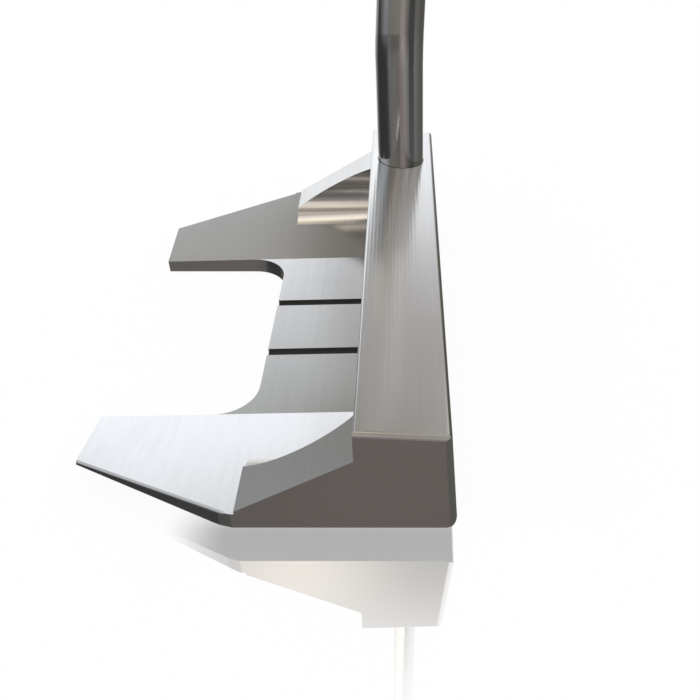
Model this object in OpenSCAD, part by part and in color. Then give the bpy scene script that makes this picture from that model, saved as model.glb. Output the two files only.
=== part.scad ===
// Mallet putter, right handed, standing at address with its sole on the ground.
// +X points to the toe, -X to the heel, +Y out of the striking face, +Z up.
// The origin is on the ground, in the flat middle of the sole, under the rear
// face of the striking block. All lengths are in millimetres.

/* [Striking block] */
// Half of the heel-to-toe length of the head
half_len = 48.9; // [42:0.1:55]
// Height of the block at its rear top edge, above the ground
block_h = 22.4; // [19:0.1:26]
// Drop of the top surface from the rear edge to the face edge
top_drop = 0.72; // [0:0.01:1.5]
// Thickness of the block along the top, rear edge to face
block_top_w = 13.05; // [12.4:0.05:16]
// Loft angle of the striking face
loft = 4.6; // [1:0.1:6]
// Rounding of the long top edge along the face
front_edge_r = 0.75; // [0.3:0.05:1.2]
// Rounding of the long top edge along the rear
rear_edge_r = 0.4; // [0.2:0.05:1.2]
// Bevel along the short top edges at the toe and the heel
end_bevel = 0.58; // [0.44:0.02:1.2]
// Rounding of both sides of that bevel
end_edge_r = 0.7; // [0.1:0.05:0.7]
// Rounding of the leading edge, where face and sole meet
lead_r = 1.7; // [0.5:0.1:2.4]
// Rounding of the upright edges between the face and the two ends
corner_r = 1.1; // [0.3:0.1:2]

/* [Rear body] */
// Half width between the two fold lines, also the inner side of each fang
fold_x = 24.5; // [20:0.1:28]
// Distance from the block to the rear edge of the middle plate
plate_len = 18.35; // [14:0.05:22]
// Thickness of the middle plate at the foot of the block
plate_t = 3.7; // [2.8:0.1:5]
// Rearward fall of the upper surface, per millimetre
rear_fall = 0.027; // [0:0.001:0.04]
// Outward rise of the wing upper surface, per millimetre
wing_rise = 0.14; // [0.08:0.005:0.18]
// Outward rise of the sole under the wings, per millimetre
sole_rise = 0.152; // [0.08:0.004:0.16]
// Distance from the block to the ends of the fangs
fang_len = 44.3; // [34:0.1:52]
// Half width over the outer corners of the fang ends
fang_tip_x = 36.5; // [30:0.1:42]
// Distance from the block to the outer corner of each wing
wing_corner_y = 18.6; // [17.8:0.1:22]
// Width of the small flat that takes the point off that corner
corner_flat_w = 0.55; // [0.2:0.05:1]
// Length of the small flat that takes the point off that corner
corner_flat_len = 1.9; // [0.8:0.1:2.4]
// Radius of the two inner corners of the rear cut-out
cut_r = 7; // [3:0.5:10]
// Height of the lower outer wing edge above the ground
wing_edge_z = 3.55; // [3:0.05:3.7]
// Outward rise of the bevel under the outer wing edges, per millimetre
edge_bevel = 0.42; // [0.2:0.01:0.6]
// Rounding of the upper outer edge of each wing
wing_edge_r = 0.5; // [0.2:0.1:0.8]

/* [Gussets] */
// Width of the gusset wall at each end
gusset_w = 7.05; // [5:0.05:9]
// Distance from the block to the rear end of the gusset
gusset_len = 17.3; // [14:0.1:17.6]
// Height of the gusset ramp at its rear end
ramp_low = 7.15; // [6.8:0.05:9]
// Height of the gusset ramp where it meets the block
ramp_high = 17.3; // [13:0.1:20]
// Radius of the hollow milled along the inner side of each gusset
gusset_hollow = 6.8; // [6:0.1:9]

/* [Alignment lines] */
// Distance of each groove from the middle of the head
line_x = 7.86; // [4:0.02:14]
// Width of each groove
line_w = 1.85; // [1:0.05:2.5]
// Depth of each groove
line_depth = 0.9; // [0.4:0.1:1.5]
// Thickness of the paint lying in each groove
paint_t = 0.3; // [0.1:0.05:0.35]
// Bare groove left between the paint and the rear edge of the plate
paint_inset = 0.1; // [0.05:0.05:1]

/* [Shaft] */
// Outer diameter of the shaft at the head
tip_d = 9.4; // [9:0.1:9.8]
// Outer diameter of the shaft under the grip
butt_d = 14.7; // [13:0.1:15.5]
// Wall thickness of the steel tube
tube_wall = 0.9; // [0.6:0.1:1.4]
// Distance of the shaft from the middle of the head, towards the heel
shaft_x = 34.1; // [28:0.1:38]
// Distance of the shaft axis in front of the rear face of the block
shaft_y = 6.2; // [5.9:0.05:6.6]
// Depth of the shaft bore below the top surface
bore_depth = 15; // [10:0.5:17]
// Thickness of the adhesive layer around the shaft tip
bond_t = 0.12; // [0.1:0.01:0.3]
// Depth of the top of the adhesive below the top of the block
bond_sink = 0.5; // [0.4:0.1:2]
// Heelward lean of the short straight length above the head
low_lean = 3.2; // [0:0.1:6]
// Rearward lean of the short straight length above the head
low_tilt = 0.84; // [0:0.01:1.5]
// Straight length between the head and the first bend
low_len = 20; // [12:0.5:40]
// Angle of the first bend
bend1_angle = 16.2; // [8:0.1:20]
// Direction of the first bend, turned from the toe towards the face
bend1_dir = 168.3; // [150:0.1:210]
// Straight length between the two bends
mid_len = 55; // [30:1:90]
// Angle of the second bend, back towards the rear
bend2_angle = 2.5; // [0.5:0.1:6]
// Direction of the second bend, turned from the toe towards the face
bend2_dir = 270; // [240:5:300]
// Radius of both bends, on the shaft axis
bend_r = 16; // [14:1:60]
// Length of the straight shaft above the second bend
long_len = 760; // [620:5:820]
// Length of the plain thin shaft before the first step
plain_len = 120; // [60:5:200]
// Spacing of the steps in the shaft diameter
step_len = 30; // [20:1:35]
// Length of the short taper at each step
step_taper = 1.2; // [0.6:0.1:3]

/* [Grip] */
// Length of the grip without its end cap
grip_len = 262; // [230:1:270]
// Width of the grip at its lower end
grip_low_d = 22; // [20:0.5:26]
// Width of the grip at its waist
grip_waist_d = 24; // [22:0.5:28]
// Width of the grip at the butt
grip_butt_d = 28; // [25:0.5:32]
// Distance of the flat front from the shaft axis
flat_off = 10.4; // [10.2:0.1:12]
// Thickness of the adhesive tape on the shaft
tape_t = 0.2; // [0.1:0.05:0.4]
// Wall thickness of the foam core of the grip
core_t = 1.6; // [1:0.1:2.4]
// Length of solid grip below the foam core
foot_len = 6; // [3:0.5:12]
// Thickness of the end cap
cap_t = 4; // [2.5:0.5:6]
// Diameter of the vent hole in the end cap
vent_d = 2; // [1:0.1:4]

/* [Hidden] */

// part of the small corner flat that lies behind the wing corner
FLAT_BEHIND = 0.6;

top_slope = top_drop / block_top_w;
front_z = block_h - top_drop;
toe_rise = sole_rise * (half_len - fold_x);
foot_y = block_top_w + front_z * tan(loft);
wall_x = half_len - gusset_w;
bore_d = tip_d + 2 * bond_t;
base_z = block_h - top_slope * shaft_y;
slope_angle = atan(top_slope);
flat_back_x = half_len - corner_flat_w;
flat_back_y = wing_corner_y + FLAT_BEHIND * corner_flat_len;
// reach of the cutting shapes past the head, and the overlap that makes a cut clean
reach = 80;
over = 1;
// overlap between the tube pieces, and the hair by which a bend is thicker than they are
nest = 0.3;
nest_slim = 0.02;
hair = 0.01;
fine_fn = 96;
tube_fn = 64;
// lower lip of the grip: inset and height of each point
LIP = [[1.5, 0], [0.4, 0.5], [0, 2]];
// shape of the grip along its length: heights as parts of the length, and the swell over the waist
LOW_STRAIGHT = 18;
WAIST_AT = 0.45;
SWELL_AT = 0.6;
PALM_AT = 0.82;
BUTT_AT = 0.92;
SWELL = 0.5;
// end cap: inset from the butt, and height as a part of its thickness
CAP_PROFILE = [[0.3, 0], [0.4, 0.45], [1.6, 0.85], [3.5, 1]];
step_count = floor((long_len - grip_len - plain_len) / step_len);
step_rise = (butt_d - tip_d) / 2 / step_count;
tape_r = butt_d / 2 + tape_t;
core_r = tape_r + core_t;

function unit(a) = [cos(a), sin(a)];

// Rounded corner at p between two lines whose outward normals point at angles from and to
function rounded(p, r, from, to, n = 8) =
    let (c = p - r * (unit(from) + unit(to)) / (1 + unit(from) * unit(to)))
    [for (i = [0:n]) c + r * unit(from + (to - from) * i / n)];

function backwards(points) = [for (i = [len(points) - 1:-1:0]) points[i]];

// Everything above (or below) the plane z = z0 + a x + b y
module half_space(z0, a, b, above) {
    ry = -atan(a);
    rx = atan(b * cos(ry));
    translate([0, 0, z0]) rotate([rx, ry, 0])
        translate([-2 * reach, -2 * reach, above ? 0 : -reach]) cube([4 * reach, 4 * reach, reach]);
}

module both_sides() {
    children();
    mirror([1, 0, 0]) children();
}

// ---- head -----------------------------------------------------------------

// Side profile of the block, drawn looking along the head
module block_profile() {
    polygon(concat(
        [[0, 0]],
        rounded([foot_y, 0], lead_r, -90, loft),
        rounded([block_top_w, front_z], front_edge_r, loft, 90 - slope_angle),
        rounded([0, block_h], rear_edge_r, 90 - slope_angle, 180)));
}

// Strip as long as the head with its two upper corners rounded to radius r
module rounded_strip(r) {
    translate([-half_len, -reach]) square([2 * half_len, reach - r]);
    translate([r - half_len, -reach]) square([2 * (half_len - r), reach]);
    for (s = [-1, 1]) translate([s * (half_len - r), -r]) circle(r, $fn = fine_fn);
}

// Strip as long as the head with its two upper corners bevelled, and the bevels rounded on both sides
module bevelled_strip() {
    for (s = [0, 1]) mirror([s, 0]) polygon(concat(
        [[-over, 0], [-over, -reach], [half_len, -reach]],
        rounded([half_len, -end_bevel], end_edge_r, 0, 45),
        rounded([half_len - end_bevel, 0], end_edge_r, 45, 90)));
}

module block() {
    intersection() {
        rotate([90, 0, 90]) translate([0, 0, -half_len]) linear_extrude(2 * half_len) block_profile();
        // rounds the upright edges at both ends of the face
        translate([0, foot_y, 0]) rotate([loft, 0, 0]) translate([0, 0, -reach])
            linear_extrude(2 * reach) rounded_strip(corner_r);
        // bevels the short top edges at the toe and the heel
        translate([0, 0, block_h]) rotate([90 - slope_angle, 0, 0]) translate([0, 0, -reach])
            linear_extrude(2 * reach) bevelled_strip();
    }
}

// Waste along the straight edge through p along t, between a wall facing out and a surface facing n
module edge_waste(p, t, out, n, r, from, to) {
    along = t / norm(t);
    up = cross(along, out);
    angle = atan2(n * up, n * out);
    curve = rounded(hair * (unit(0) + unit(angle)), r, 0, angle);
    end = curve[len(curve) - 1];
    corner = over * (unit(0) + unit(angle));
    multmatrix([
        [out[0], up[0], along[0], p[0]],
        [out[1], up[1], along[1], p[1]],
        [out[2], up[2], along[2], p[2]]])
        translate([0, 0, from]) linear_extrude(to - from)
            polygon(concat(curve, [end + over * unit(angle), corner, curve[0] + [over, 0]]));
}

// Waste along the leading edge, where the sole rises towards the toe
module lead_waste() {
    edge_waste([fold_x, foot_y, 0], [1, -sole_rise * tan(loft), sole_rise],
        [0, cos(loft), sin(loft)], [sole_rise, 0, -1], lead_r, -lead_r, half_len);
}

// Waste along the upper outer edge of the toe-side wing
module wing_waste() {
    d = [fang_tip_x - flat_back_x, flat_back_y - fang_len];
    l = norm(d);
    z = plate_t + wing_rise * (flat_back_x - fold_x) - rear_fall * flat_back_y;
    edge_waste([flat_back_x, -flat_back_y, z], [d[0], d[1], wing_rise * d[0] + rear_fall * d[1]],
        [-d[1] / l, d[0] / l, 0], [-wing_rise, -rear_fall, 1], wing_edge_r, -over, reach);
}

// Plan of everything behind the block, with the rear cut-out between the fangs
module rear_plan() {
    difference() {
        union() for (s = [0, 1]) mirror([s, 0])
            polygon([[-over, 0], [-over, -fang_len], [fang_tip_x, -fang_len],
                [flat_back_x, -flat_back_y], [half_len, corner_flat_len - flat_back_y], [half_len, 0]]);
        translate([-fold_x, -fang_len - over]) square([2 * fold_x, fang_len + over - plate_len - cut_r]);
        translate([cut_r - fold_x, -plate_len - cut_r - over]) square([2 * (fold_x - cut_r), cut_r + over]);
        for (s = [-1, 1]) translate([s * (fold_x - cut_r), -plate_len - cut_r]) circle(cut_r, $fn = fine_fn);
    }
}

// Middle plate and wings: the wings rise outwards from the fold lines
module rear_body() {
    intersection() {
        linear_extrude(block_h) rear_plan();
        union() {
            half_space(plate_t, 0, rear_fall, false);
            both_sides() half_space(plate_t - wing_rise * fold_x, wing_rise, rear_fall, false);
        }
    }
}

// Gusset at the toe end: a wall under a ramp, its inner side one hollow that runs out on the wing
module gusset() {
    r = gusset_hollow;
    tilt = atan(wing_rise);
    foot_x = wall_x - r * (1 - sin(tilt));
    foot_z = plate_t + wing_rise * (foot_x - fold_x);
    intersection() {
        rotate([90, 0, 90]) translate([0, 0, fold_x]) linear_extrude(half_len - fold_x)
            polygon([[-gusset_len, toe_rise], [0, toe_rise], [0, ramp_high], [-gusset_len, ramp_low]]);
        difference() {
            translate([foot_x, -gusset_len, 0]) cube([half_len - foot_x, gusset_len, block_h]);
            translate([wall_x - r, over, foot_z + rear_fall * over + r * cos(tilt) - hair])
                rotate([90 + atan(rear_fall), 0, 0]) cylinder(h = reach, r = r, $fn = fine_fn);
        }
    }
}

// Groove frame: origin on the plate surface at the foot of the block
module on_plate() {
    translate([0, 0, plate_t]) rotate([atan(rear_fall), 0, 0]) children();
}

// Shaft frame: origin where the shaft leaves the top of the block
module on_shaft_base() {
    translate([-shaft_x, shaft_y, base_z]) rotate([low_tilt, -low_lean, 0]) children();
}

module head_body() {
    edge_dx = half_len - fang_tip_x;
    edge_dy = fang_len - wing_corner_y;
    edge_l = sqrt(edge_dx * edge_dx + edge_dy * edge_dy);
    ba = edge_bevel * edge_dy / edge_l;
    bb = -edge_bevel * edge_dx / edge_l;
    color("#b9bcc0") difference() {
        union() {
            block();
            rear_body();
            both_sides() gusset();
        }
        // sole rising towards the toe and the heel, and its bevel under the wing edges
        both_sides() half_space(-sole_rise * fold_x, sole_rise, 0, false);
        both_sides() {
            lead_waste();
            wing_waste();
        }
        both_sides() half_space(wing_edge_z - ba * half_len + bb * wing_corner_y, ba, bb, false);
        for (s = [-1, 1]) on_plate() translate([s * line_x - line_w / 2, -plate_len - over, -line_depth])
            cube([line_w, plate_len + over, line_depth + over]);
        on_shaft_base() translate([0, 0, -bore_depth])
            cylinder(h = bore_depth + over, d = bore_d, $fn = fine_fn);
    }
}

module paint_strip(s) {
    color("#17181a") on_plate() translate([s * line_x - line_w / 2, paint_inset - plate_len, -line_depth])
        cube([line_w, plate_len - paint_inset, paint_t]);
}

module alignment_paint_toe() { paint_strip(1); }

module alignment_paint_heel() { paint_strip(-1); }

// ---- shaft ----------------------------------------------------------------

module shaft_bond() {
    color("#3a3a3c") on_shaft_base() translate([0, 0, -bore_depth]) difference() {
        cylinder(h = bore_depth - bond_sink, d = bore_d, $fn = fine_fn);
        translate([0, 0, -over]) cylinder(h = bore_depth + 2 * over, d = tip_d, $fn = fine_fn);
    }
}

module after_bend(ang, dir) {
    rotate([0, 0, dir]) translate([bend_r, 0, 0]) rotate([0, ang, 0]) translate([-bend_r, 0, 0])
        rotate([0, 0, -dir]) children();
}

module straight_tube(from, to) {
    translate([0, 0, from]) difference() {
        cylinder(h = to - from, d = tip_d, $fn = tube_fn);
        translate([0, 0, -over])
            cylinder(h = to - from + 2 * over, d = tip_d - 2 * tube_wall, $fn = tube_fn);
    }
}

// A bend, its wall a hair thicker on both sides so that the straights nest in its ends
module bent_tube(ang, dir) {
    rotate([0, 0, dir]) translate([bend_r, 0, 0]) rotate([90, 0, 180])
        rotate_extrude(angle = ang, $fn = 240) translate([bend_r, 0]) difference() {
            circle(d = tip_d + 2 * nest_slim, $fn = tube_fn);
            circle(d = tip_d - 2 * tube_wall - 2 * nest_slim, $fn = tube_fn);
        }
}

// Frame at the start of the long straight, above both bends
module on_long_shaft() {
    on_shaft_base() translate([0, 0, low_len]) after_bend(bend1_angle, bend1_dir)
        translate([0, 0, mid_len]) after_bend(bend2_angle, bend2_dir) children();
}

// Outline of the long straight: plain at first, then growing in small steps
function stepped_outline(inset) = concat(
    [[tip_d / 2 - inset, -nest], [tip_d / 2 - inset, plain_len]],
    [for (i = [1:step_count]) each [
        [tip_d / 2 - inset + step_rise * i, plain_len + step_len * (i - 1) + step_taper],
        [tip_d / 2 - inset + step_rise * i, i == step_count ? long_len : plain_len + step_len * i]]]);

module shaft() {
    color("#d9dbde") {
        on_shaft_base() {
            straight_tube(-bore_depth, low_len + nest);
            translate([0, 0, low_len]) bent_tube(bend1_angle, bend1_dir);
            translate([0, 0, low_len]) after_bend(bend1_angle, bend1_dir) {
                straight_tube(-nest, mid_len + nest);
                translate([0, 0, mid_len]) bent_tube(bend2_angle, bend2_dir);
            }
        }
        on_long_shaft() rotate_extrude($fn = tube_fn)
            polygon(concat(stepped_outline(0), backwards(stepped_outline(tube_wall))));
    }
}

// ---- grip -----------------------------------------------------------------

module on_grip() {
    on_long_shaft() translate([0, 0, long_len - grip_len]) children();
}

// Everything behind the flat front of the grip
module behind_flat(h) {
    translate([-reach, -reach, -over]) cube([reach + flat_off, 2 * reach, h + 2 * over]);
}

module grip_tape() {
    color("#cfc4a6") on_grip() difference() {
        cylinder(h = grip_len, r = tape_r, $fn = tube_fn);
        translate([0, 0, -over]) cylinder(h = grip_len + 2 * over, d = butt_d, $fn = tube_fn);
    }
}

module grip_core() {
    color("#4a4c50") on_grip() difference() {
        translate([0, 0, foot_len]) cylinder(h = grip_len - foot_len, r = core_r, $fn = tube_fn);
        translate([0, 0, -over]) cylinder(h = grip_len + 2 * over, r = tape_r, $fn = tube_fn);
    }
}

module grip_outline() {
    low = grip_low_d / 2;
    waist = grip_waist_d / 2;
    butt = grip_butt_d / 2;
    polygon(concat(
        [[0, 0]],
        [for (p = LIP) [low - p[0], p[1]]],
        [[low, LOW_STRAIGHT], [waist, WAIST_AT * grip_len], [waist + SWELL, SWELL_AT * grip_len],
            [butt - SWELL, PALM_AT * grip_len], [butt, BUTT_AT * grip_len],
            [butt - CAP_PROFILE[0][0], grip_len], [0, grip_len]]));
}

module grip_skin() {
    color("#1e1f22") on_grip() difference() {
        intersection() {
            rotate_extrude($fn = fine_fn) grip_outline();
            behind_flat(grip_len);
        }
        translate([0, 0, -over]) cylinder(h = grip_len + 2 * over, r = tape_r, $fn = tube_fn);
        translate([0, 0, foot_len]) cylinder(h = grip_len, r = core_r, $fn = tube_fn);
    }
}

module grip_cap() {
    color("#141517") on_grip() translate([0, 0, grip_len]) difference() {
        intersection() {
            rotate_extrude($fn = fine_fn) polygon(concat(
                [[0, 0]], [for (p = CAP_PROFILE) [grip_butt_d / 2 - p[0], cap_t * p[1]]], [[0, cap_t]]));
            behind_flat(cap_t);
        }
        translate([0, 0, -over]) cylinder(h = cap_t + 2 * over, d = vent_d, $fn = tube_fn);
    }
}

head_body();
alignment_paint_toe();
alignment_paint_heel();
shaft_bond();
shaft();
grip_tape();
grip_core();
grip_skin();
grip_cap();
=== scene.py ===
import math

import bpy
from mathutils import Euler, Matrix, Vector

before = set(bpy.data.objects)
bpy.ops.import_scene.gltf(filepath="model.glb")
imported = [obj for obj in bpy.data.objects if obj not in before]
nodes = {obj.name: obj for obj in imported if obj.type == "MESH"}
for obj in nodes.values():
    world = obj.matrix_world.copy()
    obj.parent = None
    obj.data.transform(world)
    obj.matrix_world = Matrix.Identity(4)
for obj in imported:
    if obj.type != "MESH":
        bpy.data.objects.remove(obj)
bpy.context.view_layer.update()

MM = 0.001
WHITE = (1, 1, 1, 1)

# Floor: half its width, and how far it lies below the sole so that the two never coincide.
FLOOR_HALF = 6.0
FLOOR_DROP = 0.2 * MM
# Share of matt white in the floor, which lets faint shadows show on it. The rest glows evenly.
FLOOR_MATT = 0.06

# Camera: place in mm, downward tilt and sideways turn in degrees, then focal length and optical
# centre, both counted in the units of the picture's side.
CAMERA_MM = (120.93, 6.45, 93.45)
PITCH = 38.91
YAW = 0.04
SIDE = 700
FOCAL = 783.44
CENTRE = (401.38, 356.36)
SENSOR_MM = 36

# Colour of the room where no light card covers it.
ROOM = (0.10, 0.09, 0.07)

# Light cards, each laid over the ones before it: bearing in degrees from the heel side (+ towards
# the face), half width, edge softness, lowest and highest elevation, edge softness, colour.
CARDS = [
    ("floor of the room", 0, 200, 1, -110, -8.1, 17, (0.13, 0.13, 0.12)),
    ("window, heel side", -8.5, 23.2, 12, -8, 37.1, 22, (1.50, 1.54, 1.62)),
    ("pane beside the window", 13.6, 22.4, 2.3, 29.6, 66, 28.8, (0.24, 0.21, 0.19)),
    ("wall above the window", -34.5, 40.3, 24.8, 35.9, 46.4, 37, (0.72, 0.74, 0.74)),
    ("warm ceiling light", -78.5, 75, 19.3, 61, 96.5, 40, (1.94, 1.71, 1.41)),
    ("dark ceiling, face side", 60.7, 73.8, 8.3, 42.8, 105, 3.3, (0.18, 0.16, 0.13)),
    ("panel behind the club", -85.2, 33.9, 54.5, -15.7, 83.1, 14, (0.71, 0.73, 0.76)),
    ("dark gap behind the club", -90.8, 37.2, 11.7, -58.1, 13.5, 36.5, (0.05, 0.05, 0.05)),
    ("panel in front of the face", 89.1, 69.3, 59.4, 29.2, 73.4, 34.7, (1.17, 1.13, 1.10)),
    ("low wall in front of the face", 153.5, 72, 60, -25.2, 7.4, 26.2, (0.23, 0.23, 0.23)),
    ("stand in front of the face", 120.7, 13.9, 1, -22.5, 28.3, 26.1, (0.08, 0.08, 0.08)),
    ("warm strip, toe side", -168, 8.4, 18.2, 33.4, 62, 2.9, (1.39, 1.24, 1.06)),
    ("low lamp, toe side", 162.9, 12.8, 26, -20.5, 19.8, 24.3, (0.46, 0.40, 0.40)),
    ("ceiling, toe side", -152.7, 62.8, 13.5, 59.7, 93.3, 3.7, (1.51, 1.37, 1.22)),
    ("sill under the window", -8.9, 20, 45.4, -24.1, 16.7, 9.6, (0.97, 0.97, 0.95)),
    ("table, toe side", -179.3, 18.8, 34.1, -110, -5.2, 39.2, (0.19, 0.16, 0.15)),
    ("wall, toe side", -168.3, 35.3, 1.1, 27.1, 35.3, 40, (0.68, 0.62, 0.59)),
    ("beam, toe side", -178.7, 30.8, 1, 57.1, 71.5, 2.2, (0.38, 0.33, 0.27)),
    ("ceiling edge, toe side", -161.1, 65.4, 4.6, 73.5, 80.4, 15.7, (0.00, 0.00, 0.00)),
    ("dim ceiling, heel side", -4, 14, 8, 62, 88, 8, (0.30, 0.27, 0.23)),
    ("bright pane", -0.7, 4.8, 11.7, 24.3, 29, 3.2, (1.82, 1.86, 1.86)),
]

# ---- shader helpers ---------------------------------------------------------


class Graph:
    """A small helper that adds nodes to one node tree and links them."""

    def __init__(self, tree):
        self.tree = tree
        tree.nodes.clear()

    def add(self, kind, inputs=None, **settings):
        node = self.tree.nodes.new(kind)
        for name, value in settings.items():
            setattr(node, name, value)
        for name, value in (inputs or {}).items():
            self.put(node.inputs[name], value)
        return node

    def put(self, socket, value):
        if isinstance(value, bpy.types.NodeSocket):
            self.tree.links.new(value, socket)
        else:
            socket.default_value = value

    def math(self, operation, a, b=0.0, c=0.0):
        node = self.add("ShaderNodeMath", operation=operation)
        for socket, value in zip(node.inputs, (a, b, c)):
            self.put(socket, value)
        return node.outputs[0]

    def plus(self, first, *others):
        for other in others:
            first = self.math("ADD", first, other)
        return first

    def times(self, first, *others):
        for other in others:
            first = self.math("MULTIPLY", first, other)
        return first

    def ramp(self, value, low, high, out_low=0.0, out_high=1.0):
        """Value mapped smoothly from low..high to out_low..out_high, and held flat outside."""
        node = self.add("ShaderNodeMapRange", clamp=True, interpolation_type="SMOOTHSTEP")
        for name, v in (("Value", value), ("From Min", low), ("From Max", high),
                        ("To Min", out_low), ("To Max", out_high)):
            self.put(node.inputs[name], v)
        return node.outputs["Result"]

    def mix(self, factor, a, b):
        node = self.add("ShaderNodeMix", data_type="RGBA")
        colours = [s for s in node.inputs if s.type == "RGBA"]
        self.put(node.inputs["Factor"], factor)
        self.put(colours[0], a)
        self.put(colours[1], b)
        return next(s for s in node.outputs if s.type == "RGBA")

    def noise(self, vector, scale, detail=3.0, rough=0.6):
        node = self.add("ShaderNodeTexNoise",
                        {"Vector": vector, "Scale": scale, "Detail": detail, "Roughness": rough})
        return node.outputs["Fac"]

    def streaks(self, vector, scale, detail=3.0, rough=0.6):
        """Noise stretched along the axes that have a small scale."""
        mapping = self.add("ShaderNodeMapping", {"Vector": vector, "Scale": scale})
        return self.noise(mapping.outputs["Vector"], 1.0, detail, rough)

    def split(self, vector):
        return self.add("ShaderNodeSeparateXYZ", {"Vector": vector}).outputs

    def place(self, output="Object"):
        return self.add("ShaderNodeTexCoord").outputs[output]


def new_material(name):
    material = bpy.data.materials.new(name)
    material.use_nodes = True
    g = Graph(material.node_tree)
    out = g.add("ShaderNodeOutputMaterial")
    shader = g.add("ShaderNodeBsdfPrincipled")
    g.tree.links.new(shader.outputs[0], out.inputs["Surface"])
    return material, g, shader, g.place()


def finish_surface(g, shader, colour, rough, relief, strength, depth):
    """Colour, roughness and a bump of the given strength and depth."""
    g.put(shader.inputs["Base Color"], colour)
    g.put(shader.inputs["Roughness"], rough)
    bump = g.add("ShaderNodeBump", {"Height": relief, "Strength": strength, "Distance": depth})
    g.put(shader.inputs["Normal"], bump.outputs["Normal"])


def grey(value):
    return (value, value, value, 1)


# ---- materials --------------------------------------------------------------


def milled_steel():
    """Satin stainless steel: fine cutter lines, running heel to toe on top and along Y on the
    ends, and wider cutter ridges on the top of the block, strongest at the heel."""
    material, g, shader, place = new_material("milled_steel_satin")
    along, across = 9, 1100
    normal = g.add("ShaderNodeNewGeometry").outputs["True Normal"]
    on_end = g.math("ABSOLUTE", g.split(normal)["X"])
    along_x = g.streaks(place, (along, across, across))
    along_y = g.streaks(place, (across, along, across))
    lines = g.plus(g.times(along_x, g.math("SUBTRACT", 1.0, on_end)), g.times(along_y, on_end))
    cloud = g.noise(place, 45.0, 3.0, 0.55)
    grain = g.noise(place, 4200.0, 2.0)
    tone = g.plus(g.times(lines, 0.5), g.times(cloud, 0.5))
    colour = g.mix(g.ramp(tone, 0.36, 0.64), grey(0.635), grey(0.665))
    rough = g.plus(g.ramp(tone, 0.35, 0.65, 0.165, 0.155), g.times(grain, 0.02))
    x, y, z = g.split(place)
    ridge_pitch, ridge_wander, ridge_height = 0.62 * MM, 9.0, 0.38
    wave = g.plus(g.times(y, 2 * math.pi / ridge_pitch), g.times(along_x, ridge_wander))
    block_top = g.ramp(z, 20.5 * MM, 21.5 * MM, 0.0, ridge_height)
    to_the_toe = g.ramp(x, -15 * MM, 30 * MM, 1.0, 0.3)
    ridges = g.times(g.math("SINE", wave), block_top, to_the_toe)
    relief = g.plus(g.times(lines, 0.75), g.times(grain, 0.12), ridges)
    shader.inputs["Metallic"].default_value = 1.0
    finish_surface(g, shader, colour, rough, relief, 0.45, 0.01 * MM)
    return material


def line_paint():
    """Matt black enamel lying in the sight grooves."""
    material, g, shader, place = new_material("sight_line_paint")
    blot = g.noise(place, 900.0)
    colour = g.mix(blot, (0.008, 0.008, 0.009, 1), (0.022, 0.021, 0.021, 1))
    finish_surface(g, shader, colour, g.ramp(blot, 0.3, 0.7, 0.42, 0.62), blot, 0.25, 0.05 * MM)
    return material


def chrome_tube():
    """Polished chrome plate with faint draw lines along the tube."""
    material, g, shader, place = new_material("chrome_plate")
    draw = g.streaks(place, (900, 900, 14), 2.0, 0.5)
    haze = g.noise(place, 60.0)
    colour = g.mix(haze, grey(0.60), grey(0.64))
    rough = g.plus(g.times(draw, 0.03), g.ramp(haze, 0.35, 0.65, 0.085, 0.105))
    shader.inputs["Metallic"].default_value = 1.0
    finish_surface(g, shader, colour, rough, draw, 0.05, 0.03 * MM)
    return material


def grip_rubber():
    """Matt polyurethane with a fine pebbled texture and light wear where the hands sit."""
    material, g, shader, place = new_material("grip_polyurethane")
    cells = g.add("ShaderNodeTexVoronoi", {"Vector": place, "Scale": 640.0}, feature="SMOOTH_F1")
    worn = g.noise(place, 22.0, 4.0)
    colour = g.mix(g.ramp(worn, 0.35, 0.7), (0.014, 0.014, 0.016, 1), (0.034, 0.034, 0.037, 1))
    rough = g.ramp(worn, 0.3, 0.7, 0.72, 0.58)
    finish_surface(g, shader, colour, rough, cells.outputs["Distance"], 0.6, 0.4 * MM)
    return material


def cap_rubber():
    """Moulded rubber with a soft even sheen."""
    material, g, shader, place = new_material("cap_moulded_rubber")
    speck = g.noise(place, 1500.0)
    colour = g.mix(speck, (0.012, 0.012, 0.013, 1), (0.026, 0.026, 0.028, 1))
    finish_surface(g, shader, colour, g.ramp(speck, 0.3, 0.7, 0.5, 0.66), speck, 0.3, 0.1 * MM)
    return material


def plain_filled(name, dark, light, scale, rough):
    """Fine-grained dull material for the pieces that are closed in: foam, tape and adhesive."""
    material, g, shader, place = new_material(name)
    grain = g.noise(place, scale)
    colour = g.mix(grain, (*dark, 1), (*light, 1))
    dullness = g.ramp(grain, 0.3, 0.7, rough, rough + 0.15)
    finish_surface(g, shader, colour, dullness, grain, 0.4, 0.2 * MM)
    return material


def dress(node, material):
    for slot in nodes[node].material_slots:
        slot.material = material


paint = line_paint()
dress("head_body", milled_steel())
dress("alignment_paint_toe", paint)
dress("alignment_paint_heel", paint)
dress("shaft", chrome_tube())
dress("shaft_bond", plain_filled("cured_epoxy", (0.02, 0.02, 0.022), (0.06, 0.06, 0.065), 700.0, 0.35))
dress("grip_tape", plain_filled("paper_tape", (0.50, 0.43, 0.30), (0.68, 0.61, 0.46), 400.0, 0.7))
dress("grip_core", plain_filled("grip_foam", (0.06, 0.06, 0.07), (0.12, 0.12, 0.13), 1200.0, 0.8))
dress("grip_skin", grip_rubber())
dress("grip_cap", cap_rubber())

# ---- studio -----------------------------------------------------------------


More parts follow.
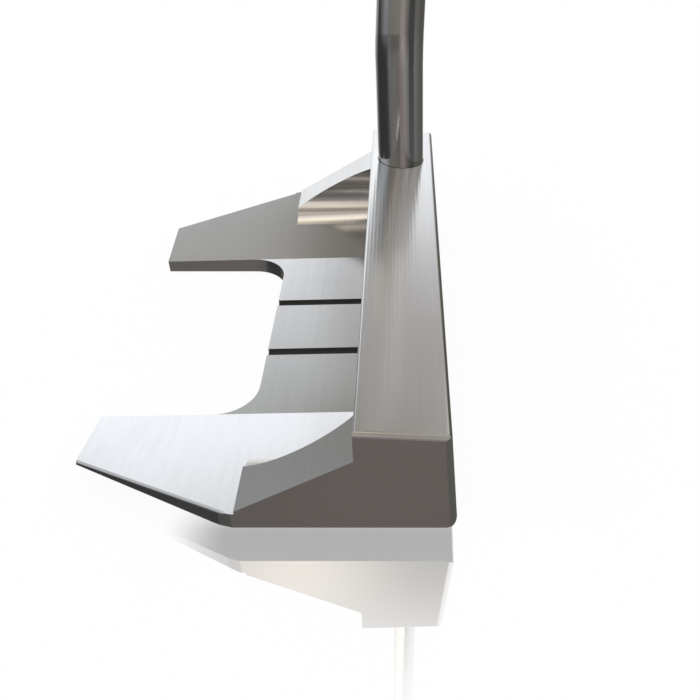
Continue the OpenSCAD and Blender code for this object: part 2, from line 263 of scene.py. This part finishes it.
def studio_floor():
    """A white table top that shows a weak mirror image just beyond the toe."""
    mesh = bpy.data.meshes.new("floor")
    corners = [(-1, -1), (1, -1), (1, 1), (-1, 1)]
    points = [(x * FLOOR_HALF, y * FLOOR_HALF, -FLOOR_DROP) for x, y in corners]
    mesh.from_pydata(points, [], [(0, 1, 2, 3)])
    floor = bpy.data.objects.new("floor", mesh)
    bpy.context.scene.collection.objects.link(floor)
    material = bpy.data.materials.new("white_table")
    material.use_nodes = True
    g = Graph(material.node_tree)
    glow = g.add("ShaderNodeEmission", {"Color": WHITE, "Strength": 1.0})
    matt = g.add("ShaderNodeBsdfDiffuse", {"Color": WHITE})
    mirror = g.add("ShaderNodeBsdfGlossy", {"Color": WHITE, "Roughness": 0.0})
    x, y, _ = g.split(g.place())
    starts = g.ramp(x, 40 * MM, 47 * MM, 0.0, 0.60)
    fades_outwards = g.ramp(x, 50 * MM, 78 * MM, 1.0, 0.0)
    ends_before_face = g.ramp(y, 22 * MM, 45 * MM, 1.0, 0.0)
    ends_behind = g.ramp(y, -30 * MM, -19 * MM)
    shine = g.times(starts, fades_outwards, ends_before_face, ends_behind)
    base = g.add("ShaderNodeMixShader", {"Fac": FLOOR_MATT, 1: glow.outputs[0], 2: matt.outputs[0]})
    both = g.add("ShaderNodeMixShader", {"Fac": shine, 1: base.outputs[0], 2: mirror.outputs[0]})
    out = g.add("ShaderNodeOutputMaterial")
    g.tree.links.new(both.outputs[0], out.inputs["Surface"])
    mesh.materials.append(material)
    floor.visible_glossy = False


def studio_world():
    """The room that the metal mirrors: soft light cards round the club, warm overhead, dim below.
    The camera, the matt surfaces and the floor's mirror image see plain white instead."""
    world = bpy.data.worlds.new("studio")
    bpy.context.scene.world = world
    world.use_nodes = True
    world.cycles.sampling_method = "NONE"
    g = Graph(world.node_tree)
    x, y, z = g.split(g.place("Generated"))
    degrees = 180 / math.pi
    elevation = g.times(g.math("ARCSINE", z), degrees)
    bearing = g.times(g.math("ARCTAN2", y, g.times(x, -1.0)), degrees)
    light = (*ROOM, 1)
    for _name, centre, half, soft, low, high, fade, colour in CARDS:
        away = g.math("ABSOLUTE", g.math("WRAP", g.math("SUBTRACT", bearing, centre), 180.0, -180.0))
        inside = g.times(g.ramp(away, half - soft / 2, half + soft / 2, 1.0, 0.0),
                         g.ramp(elevation, low - fade / 2, low + fade / 2),
                         g.ramp(elevation, high - fade / 2, high + fade / 2, 1.0, 0.0))
        light = g.mix(inside, light, (*colour, 1))
    room = g.add("ShaderNodeBackground", {"Color": light, "Strength": 1.0})
    white = g.add("ShaderNodeBackground", {"Color": WHITE, "Strength": 1.0})
    rays = g.add("ShaderNodeLightPath").outputs
    plain = g.math("MAXIMUM", rays["Is Camera Ray"], rays["Is Diffuse Ray"])
    plain = g.math("MAXIMUM", plain, rays["Is Singular Ray"])
    both = g.add("ShaderNodeMixShader", {"Fac": plain, 1: room.outputs[0], 2: white.outputs[0]})
    out = g.add("ShaderNodeOutputWorld")
    g.tree.links.new(both.outputs[0], out.inputs["Surface"])


def studio_camera():
    """Above and beyond the toe, looking along the face line and down at the head."""
    data = bpy.data.cameras.new("camera")
    camera = bpy.data.objects.new("camera", data)
    bpy.context.scene.collection.objects.link(camera)
    camera.location = Vector(CAMERA_MM) * MM
    camera.rotation_euler = Euler((math.radians(90 - PITCH), 0, math.radians(90 + YAW)), "XYZ")
    data.sensor_width = SENSOR_MM
    data.lens = SENSOR_MM * FOCAL / SIDE
    data.shift_x = (SIDE / 2 - CENTRE[0]) / SIDE
    data.shift_y = (CENTRE[1] - SIDE / 2) / SIDE
    data.clip_start = 5 * MM
    data.clip_end = 50
    bpy.context.scene.camera = camera


studio_floor()
studio_world()
studio_camera()

scene = bpy.context.scene
scene.view_settings.view_transform = "Standard"
scene.view_settings.look = "None"
